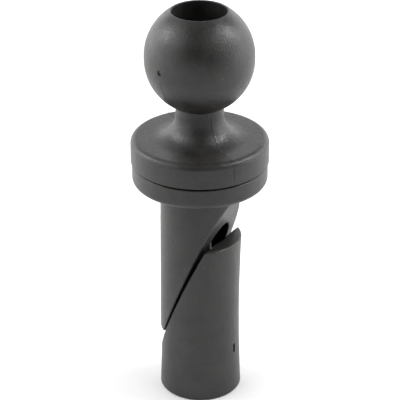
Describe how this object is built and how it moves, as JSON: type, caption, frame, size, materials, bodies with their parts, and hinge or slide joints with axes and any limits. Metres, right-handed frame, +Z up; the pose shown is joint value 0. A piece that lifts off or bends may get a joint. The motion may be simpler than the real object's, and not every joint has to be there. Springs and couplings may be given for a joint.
{
  "type": "ball mount on expanding wedge post",
  "caption": "Plastic accessory-mount ball on a flanged, slant-cut hollow post; a long bolt through the ball draws a sliding wedge up the ramp to grip inside a tube.",
  "frame": {"origin": "centre of the wedge's foot, on the common axis of ball, post and bolt", "axes": "+Z up from the foot to the ball along the bolt; +X the way the wedge moves out, which the post's ramp faces"},
  "size_m": [0.0484, 0.0484, 0.1462],
  "materials": {
    "ball_moulding": "fine satin texture, black glass-filled nylon",
    "post_moulding": "fine satin texture, black glass-filled nylon",
    "plated_steel": "zinc plated, lightly brushed",
    "insert_nylon": "natural nylon ring"
  },
  "bodies": {
    "mount": {"ball_mount": "ball_moulding", "stem": "post_moulding", "head_washer": "plated_steel"},
    "bolt": {"draw_bolt": "plated_steel"},
    "wedge": {"wedge": "post_moulding"},
    "nut": {"lock_nut": "plated_steel", "nut_insert": "insert_nylon", "backing_plate": "plated_steel"}
  },
  "joints": [
    {"name": "bolt_turn", "type": "hinge", "parent": "mount", "child": "bolt", "pos_m": [0, 0, 0.12], "axis": [0, 0, -1], "range_deg": [0, 2160]},
    {"name": "nut_travel", "type": "slide", "parent": "mount", "child": "nut", "axis": [0, 0, 1], "range_m": [0, 0.00847]},
    {"name": "wedge_slide", "type": "slide", "parent": "mount", "child": "wedge", "axis": [0.4195, 0, 0.9078], "range_m": [0, 0.00933]}
  ],
  "couplings": [
    {"joint": "nut_travel", "follows": "bolt_turn", "m_per_rad": 0.00022457},
    {"joint": "wedge_slide", "follows": "bolt_turn", "m_per_rad": 0.00024738}
  ]
}
